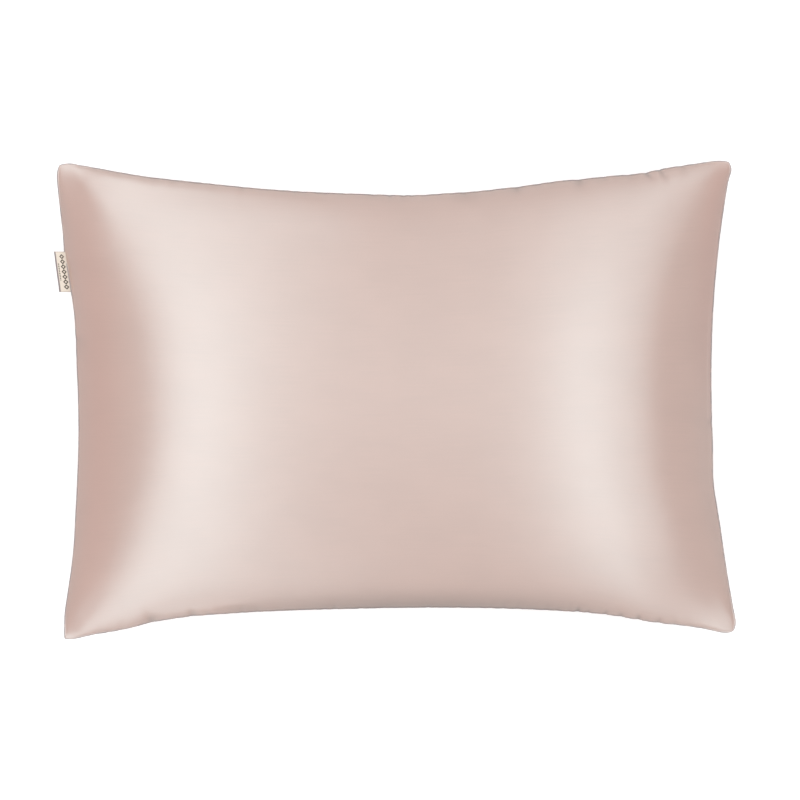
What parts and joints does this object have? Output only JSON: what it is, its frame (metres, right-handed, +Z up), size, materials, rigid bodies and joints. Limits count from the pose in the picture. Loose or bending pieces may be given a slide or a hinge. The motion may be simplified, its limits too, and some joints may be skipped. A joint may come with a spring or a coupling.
{
  "type": "filled pillowcase",
  "caption": "Satin pillowcase on a plump bed pillow, lying on its back: crowned face, drawn-in sides, thin seam lip, blunt corners and a short blank tape label in the side seam.",
  "frame": {"origin": "middle of the flat patch on which the filled case rests, on the surface", "axes": "+X along the pillow's length, away from the label; +Y across its width, towards the top edge; +Z up out of the front face"},
  "size_m": [0.6787, 0.4744, 0.1573],
  "materials": {
    "satin": "glossy dusty-pink satin weave",
    "label_tape": "matt cream woven tape"
  },
  "bodies": {
    "root": {"filled_case": "satin", "seam_label": "label_tape"}
  },
  "joints": []
}
